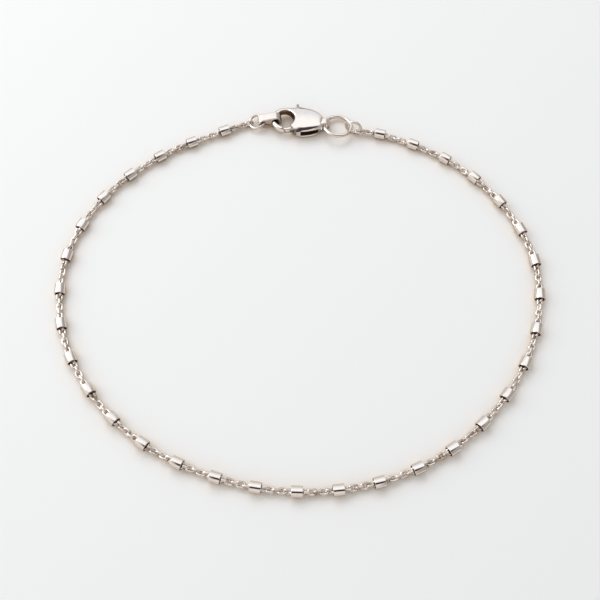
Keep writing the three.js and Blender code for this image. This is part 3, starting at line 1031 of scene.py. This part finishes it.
    def skin(self) -> Shell:
        """Claw and body: a section with rounded edges, carried round the claw's middle from hole to outline.

        Its flat runs over the dome, or level in the arm. At the slit its end is slanted, with the turn of its
        inner edge less than that of its outer edge.

        Returns:
            The whole claw and body, uncut, with the wall of the hole marked as inside.
        """
        turn, reach = self.outline()
        path = np.stack([reach * np.cos(turn), reach * np.sin(turn)], axis=-1)
        run = np.concatenate([[0], np.cumsum(np.linalg.norm(np.diff(path, axis=0), axis=1))])
        even = np.linspace(0, run[-1], self.TURNS)
        turn = np.interp(even, run, turn)[:, None]
        reach = np.interp(even, run, reach)[:, None]
        place, edge, level = self.section()
        wide = np.clip((reach - self.hole - self.arm) / self.arm, 0, 1)
        outer = self.rounding + (self.body_rounding - self.rounding) * wide
        x, y = reach * np.cos(turn), reach * np.sin(turn)
        over_window = np.clip(np.minimum(x - self.lip_from, self.lip_to - x) / self.lip_ease, 0, 1) * (y < 0)
        step_back = self.lip * over_window**2 * (3 - 2 * over_window)
        reach = reach - step_back * (level >= 0)[None]
        flat = reach - self.hole - self.rounding - outer
        rounding = np.where(edge[None] > 0, outer, self.rounding)
        radius = self.hole + self.rounding + flat * place[None] + rounding * edge[None]
        share = (radius - self.hole) / (reach - self.hole)
        slant = self.slit_inner + (self.slit_outer - self.slit_inner) * share
        stretch = (slant - np.pi) / (self.slit_outer - np.pi)
        angle = np.where(turn > np.pi, np.pi + (turn - np.pi) * stretch, turn)
        x, y = radius * np.cos(angle), radius * np.sin(angle)
        power = self.MEETING_POWER
        tall = (self.dome(x, y) ** power + (self.arm_height / 2) ** power) ** (1 / power)
        rim = np.where(place[None] > 0.5, self.rim_height, 0.0)
        wall = np.clip(np.maximum(1 - self.edge_drop / tall, rim * wide / tall), 0, 1)
        up = np.abs(level)[None]
        height = np.sign(level)[None] * tall * (wall * np.minimum(up * self.WALL_EASE, 1) + (1 - wall) * up)
        shell = swept(np.stack([x, y, height], axis=-1), closed=False)
        # The wall of the hole takes the second finish, its painted shade
        shell.mark_inside((place == 0) & (np.abs(level) < self.SHADED_PART))
        return shell

    def eye(self) -> Shell:
        """The eye behind the tail: a flat band carried round an axis that lies across the clasp.

        Returns:
            The closed band.
        """
        turn, around = whole_turn(self.EYE_STEPS)[:, None], whole_turn(self.BAND_STEPS)
        section = superellipse(around, self.eye_wall / 2, self.eye_width / 2, BAND_POWER)
        reach = self.eye_radius + self.eye_wall / 2 + section[None, :, 0]
        x = self.eye_x + reach * np.cos(turn)
        return swept(np.stack([x, section[None, :, 1] + 0 * x, reach * np.sin(turn)], axis=-1), closed=True)

    def eye_hole(self) -> Shell:
        """The hole through the eye: a circle repeated at both sides of the clasp and walled between.

        Returns:
            A cylinder across the clasp.
        """
        turn = whole_turn(self.HOLE_STEPS)[None, :]
        sides = np.array([-1, 1])[:, None] * 2 * self.eye_width
        x = self.eye_x + self.eye_radius * np.cos(turn) + 0 * sides
        z = self.eye_radius * np.sin(turn) + 0 * sides
        return swept(np.stack([x, sides + 0 * turn, z], axis=-1), closed=False)

    def plate(self, outline: np.ndarray, height: float) -> Shell:
        """A flat plate about height 0: an outline repeated at two heights and walled between."""
        levels = [np.full(len(outline), z) for z in (-height / 2, height / 2)]
        return swept(np.stack([np.column_stack([outline, level]) for level in levels]), closed=False)

    def cylinder(self, radius: float, height: float) -> Shell:
        """An upright cylinder about the pivot, with its middle at height 0."""
        turn = whole_turn(self.POST_STEPS)
        return self.plate(self.pivot + radius * np.stack([np.cos(turn), np.sin(turn)], axis=-1), height)

    def carve_with(self, piece: bpy.types.Object, shell: Shell, finish: SilverFinish, way: Carving) -> None:
        """Carves a piece with a shell of the clasp's own frame, which leaves its finish there."""
        carve(piece, make_piece("tool", self.frame.place(shell), finish), way)

    def build(self) -> None:
        """Makes the body and the lever."""
        self.build_body()
        self.build_lever()

    def build_body(self) -> None:
        """Cuts the lever's room and the eye's hole into claw and body, adds post and eye, and seats them."""
        body = make_piece("clasp_shell", self.frame.place(self.skin()), CLASP_SILVER, SHADED_INSIDE_SILVER)
        window = [(x, -self.outside) for x in self.WINDOW]
        room = np.array([*self.ROOM_NEAR, *window, *self.ROOM_FAR])
        start, end = self.notch
        notch = np.array([(start, 0.0), (end, 0.0), (end, self.outside), (start, self.outside)])
        for outline in (room, notch):
            self.carve_with(body, self.plate(outline, self.slot_height), INSIDE_SILVER, Carving.CUT)
        post = self.cylinder(self.post, self.slot_height + self.post_seat)
        self.carve_with(body, post, INSIDE_SILVER, Carving.JOIN)
        self.carve_with(body, self.eye_hole(), CLASP_SILVER, Carving.CUT)
        self.carve_with(body, self.eye(), CLASP_SILVER, Carving.JOIN)
        body.data.set_sharp_from_angle(angle=CLASP_CREASE)
        seat(body, Body.ANKLET, "clasp_body")

    def gate(self, tip: tuple[float, float], root: tuple[float, float]) -> Shell:
        """The gate: a rounded section carried along the claw's circle, its ends slanted as the slit is.

        Args:
            tip: Angles of its tip at the outside and at the hole.
            root: Angles of its root, likewise.

        Returns:
            The closed gate.
        """
        inner, outer = self.hole + self.gap, self.hole + self.arm - self.gap
        around, thick = whole_turn(self.GATE_SIDES), (outer - inner) / 2
        section = superellipse(around, thick, self.gate_height / 2, self.GATE_POWER)
        radius = (inner + outer) / 2 + section[None, :, 0]
        share = (radius - inner) / (outer - inner)
        start = tip[1] + (tip[0] - tip[1]) * share
        end = root[1] + (root[0] - root[1]) * share
        turn = start + (end - start) * np.linspace(0, 1, self.GATE_STEPS)[:, None]
        height = section[None, :, 1] + 0 * turn
        return swept(np.stack([radius * np.cos(turn), radius * np.sin(turn), height], axis=-1), closed=False)

    def build_lever(self) -> None:
        """Makes the gate and the plate with its nub, joins and bores them, and seats the lever."""
        inner, outer = self.hole + self.gap, self.hole + self.arm - self.gap
        slack = 4 * self.gap
        slacks = slack / (self.hole + self.arm), slack / self.hole
        tip = tuple(slit - 2 * np.pi + s for slit, s in zip((self.slit_outer, self.slit_inner), slacks))
        root = tuple(self.gate_root - s for s in slacks)
        gate = self.frame.place(self.gate(tip, root))
        lever = make_piece("clasp_gate_lever", gate, CLASP_SILVER, INSIDE_SILVER)
        bore = self.post + self.bore_gap
        hub = bore + self.hub_wall
        x, y = self.pivot
        round_hub = np.linspace(*self.HUB_TURN, 20)
        inner_edge = np.linspace(self.PLATE_START, root[1] - self.PLATE_STOPS[1], 10)
        heel = root[0] - self.PLATE_STOPS[0]
        nub_tip = self.half_width + self.nub_reach
        outline = np.concatenate([
            [[outer * math.cos(heel), outer * math.sin(heel)]],
            np.stack([x + hub * np.cos(round_hub), y + hub * np.sin(round_hub)], axis=-1),
            [[self.nub[1], nub_tip], [self.nub[0], nub_tip], [x - hub, y + self.PLATE_CORNER]],
            np.stack([inner * np.cos(inner_edge), inner * np.sin(inner_edge)], axis=-1),
        ])
        self.carve_with(lever, self.plate(outline, self.lever_thickness), LEVER_SILVER, Carving.JOIN)
        self.carve_with(lever, self.cylinder(bore, self.height), INSIDE_SILVER, Carving.CUT)
        lever.data.set_sharp_from_angle(angle=CLASP_CREASE)
        seat(lever, Body.LEVER, "clasp_lever")


# Floor, light and camera


@dataclass(frozen=True)
class Studio:
    """A pale floor, soft daylight from the back left, and the camera.

    Attributes:
        floor: Side of the square floor, in metres.
        floor_colour: The floor's colour.
        halo_colour: Its colour close to the metal: painted warm light, as the metal would throw on it.
        contact_shade_colour: Painted contact shade in the narrowest gaps.
        shaded_mirror_colour: Its colour as the silver mirrors it, darkened with painted shade.
        halo_reach: How far the halo reaches, in millimetres.
        sky: The sky's colour as the silver mirrors it, under its fields.
        sky_over_floor: The even sky that lights the floor.
        backdrop: The sky as the camera sees it.
        strength: The sky's brightness.
        camera: The camera's place, in millimetres.
        target: The point that it looks at, in millimetres.
        lens: Its focal length on a 36 mm sensor.
        flag: Half width and half height of the dark flag, in metres.
    """

    floor: float = 6.0
    floor_colour: Colour = (0.89, 0.897, 0.905)
    halo_colour: Colour = (1.0, 0.86, 0.72)
    contact_shade_colour: Colour = (0.32, 0.22, 0.16)
    shaded_mirror_colour: Colour = (0.72, 0.65, 0.59)
    halo_reach: float = 3.2
    sky: Colour = (0.99, 0.955, 0.925)
    sky_over_floor: Colour = (0.56, 0.566, 0.562)
    backdrop: Colour = (0.9, 0.9, 0.9)
    strength: float = 1.08
    camera: Point = (0.0414, -61.136, 131.825)
    target: Point = (0.0414, -2.9954, 0.0)
    lens: float = 50.0
    flag: tuple[float, float] = (0.05, 0.02)

    # Round windows: name, middle and width in metres, power in watts, and whether the silver mirrors it
    WINDOWS = (
        ("window_back", (-0.12, 0.5, 0.52), 0.45, 1.5, False),
        ("window_left", (-0.36, 0.14, 0.3), 0.4, 0.72, True),
    )

    # Fields of the sky as silver mirrors it, each over the last: the warm front, the dark round the camera,
    # the grey right and back, and the dark horizon. Each has its colour and its soft edges, which are an
    # axis of the direction and the two values that the field rises between.
    FIELDS = (
        ((0.76, 0.66, 0.59), (("Y", 0.12, -0.3), ("Z", 0.2, 0.3))),
        ((0.05, 0.04, 0.045), (("Y", 0.02, -0.2), ("Y", -0.7, -0.52), ("X", -0.6, -0.3))),
        ((0.38, 0.34, 0.32), (("X", 0.25, 0.55), ("Z", 0.9, 0.7))),
        ((0.76, 0.755, 0.765), (("Y", 0.55, 0.85), ("X", 0.6, 0.3))),
        ((0.12, 0.09, 0.08), (("Z", 0.18, 0.02),)),
    )

    def build(self) -> None:
        """Sets up everything around the anklet."""
        half = self.floor / 2
        corners = [Vector((x * half, y * half, 0)) for x, y in ((-1, -1), (1, -1), (1, 1), (-1, 1))]
        self.build_plane("floor", corners, self.floor_material())
        self.build_sky()
        self.build_windows()
        self.build_flag()
        self.build_camera()

    def build_plane(self, name: str, corners: list[Vector], material: bpy.types.Material) -> bpy.types.Object:
        """Puts a four-cornered plane into the scene as stage.

        Args:
            name: Its name.
            corners: Its corners in turn, in metres.
            material: Its material.

        Returns:
            The plane.
        """
        mesh = bpy.data.meshes.new(name)
        mesh.from_pydata([tuple(c) for c in corners], [], [(0, 1, 2, 3)])
        mesh.materials.append(material)
        plane = bpy.data.objects.new(name, mesh)
        bpy.context.scene.collection.objects.link(plane)
        return plane

    def floor_material(self) -> bpy.types.Material:
        """Pale stone, with painted warm light close to the metal, painted contact shade in the narrowest gaps,
        and painted shade in what the silver mirrors of it.

        Returns:
            The material.
        """
        roughness, gloss, samples = 0.6, 0.3, 12
        halo_span, contact_shade_span = (0.25, 0.97), (0.1, 0.34)
        material = bpy.data.materials.new("floor_pale")
        material.use_nodes = True
        graph = Graph(material.node_tree)
        shader = material.node_tree.nodes["Principled BSDF"].inputs
        shader["Roughness"].default_value = roughness
        shader["Specular IOR Level"].default_value = gloss
        # Painted light and shade from ambient occlusion: warm light close to the metal, dark contact shade in
        # the narrowest gaps
        near = graph.add("AmbientOcclusion", {"Distance": self.halo_reach * MM}, samples=samples)
        clear, under = (graph.rise(near.outputs["AO"], *span) for span in (halo_span, contact_shade_span))
        contact_shade = rgba(self.contact_shade_colour)
        halo = graph.blend(under, contact_shade, rgba(self.halo_colour))
        seen = graph.blend(clear, halo, rgba(self.floor_colour))
        # Painted shade: the floor that the silver mirrors is dimmer and warm, down to the contact shade near
        # the metal
        mirrored = graph.blend(clear, contact_shade, rgba(self.shaded_mirror_colour))
        glossy = graph.add("LightPath", {}).outputs["Is Glossy Ray"]
        graph.join(graph.blend(glossy, seen, mirrored), shader["Base Color"])
        return material

    def build_sky(self) -> None:
        """Daylight all round: an even sky for the floor, and one with darker fields for the silver."""
        world = bpy.data.worlds.new("daylight")
        bpy.context.scene.world = world
        world.use_nodes = True
        world.node_tree.nodes.clear()
        graph = Graph(world.node_tree)
        direction = graph.add("TexCoord", {}).outputs["Generated"]
        axes = graph.add("SeparateXYZ", {"Vector": direction}).outputs
        light = rgba(self.sky)
        for colour, edges in self.FIELDS:
            mask = 1.0
            for axis, start, end in edges:
                mask = graph.product(mask, graph.rise(axes[axis], start, end, "SMOOTHSTEP"))
            light = graph.blend(mask, light, rgba(colour))
        ray = graph.add("LightPath", {}).outputs
        light = graph.blend(ray["Is Diffuse Ray"], light, rgba(self.sky_over_floor))
        light = graph.blend(ray["Is Camera Ray"], light, rgba(self.backdrop))
        background = graph.add("Background", {"Strength": self.strength, "Color": light})
        graph.add("OutputWorld", {"Surface": background.outputs["Background"]})

    def build_windows(self) -> None:
        """Hangs each window up as a disk lamp turned to the loop's middle."""
        for name, place, size, energy, mirrored in self.WINDOWS:
            data = bpy.data.lights.new(name, "AREA")
            data.shape = "DISK"
            data.size = size
            data.energy = energy
            lamp = bpy.data.objects.new(name, data)
            lamp.location = place
            lamp.visible_glossy = mirrored
            lamp.rotation_mode = "QUATERNION"
            lamp.rotation_quaternion = (-Vector(place)).to_track_quat("-Z", "Y")
            bpy.context.scene.collection.objects.link(lamp)

    def build_flag(self) -> None:
        """A dark flag by the camera that only reflections see. It draws the dark line on each bead."""
        behind, below = 0.012, 0.014
        eye, target = (Vector(p) * MM for p in (self.camera, self.target))
        back = (eye - target).normalized()
        right = Vector((1, 0, 0))
        up = right.cross(-back).normalized()
        middle = eye + back * behind - up * below
        half_width, half_height = self.flag
        corners = [
            middle + right * x * half_width + up * y * half_height
            for x, y in ((-1, -1), (1, -1), (1, 1), (-1, 1))
        ]
        material = bpy.data.materials.new("flag_dark")
        material.use_nodes = True
        shader = material.node_tree.nodes["Principled BSDF"].inputs
        shader["Base Color"].default_value = (0.02, 0.012, 0.01, 1)
        shader["Roughness"].default_value = 1.0
        flag = self.build_plane("flag", corners, material)
        flag.visible_camera = flag.visible_diffuse = flag.visible_shadow = False

    def build_camera(self) -> None:
        """The camera at the photograph's place and angle."""
        data = bpy.data.cameras.new("camera")
        data.lens = self.lens
        data.sensor_width = 36.0
        data.clip_start = 0.005
        data.clip_end = 20.0
        camera = bpy.data.objects.new("camera", data)
        eye, target = (Vector(p) * MM for p in (self.camera, self.target))
        camera.location = eye
        camera.rotation_mode = "QUATERNION"
        camera.rotation_quaternion = (target - eye).to_track_quat("-Z", "Y")
        bpy.context.scene.collection.objects.link(camera)
        bpy.context.scene.camera = camera
        view = bpy.context.scene.view_settings
        view.view_transform = "Standard"
        view.look = "None"


def main() -> None:
    """Builds the anklet piece by piece, then its surroundings."""
    route = Route()
    beads = TubeBeads(route)
    clasp = LobsterClasp(ClaspFrame())
    makers = (
        beads,
        CableChain(route, beads),
        clasp,
        FlatLink(clasp.frame),
        JumpRing("left_jump_ring", outer=3.3, wire=0.52),
        JumpRing("big_jump_ring", outer=5.8, wire=0.7),
        JumpRing("right_jump_ring", outer=3.3, wire=0.52),
    )
    for maker in makers:
        maker.build()
    Studio().build()


if __name__ == "__main__":
    main()
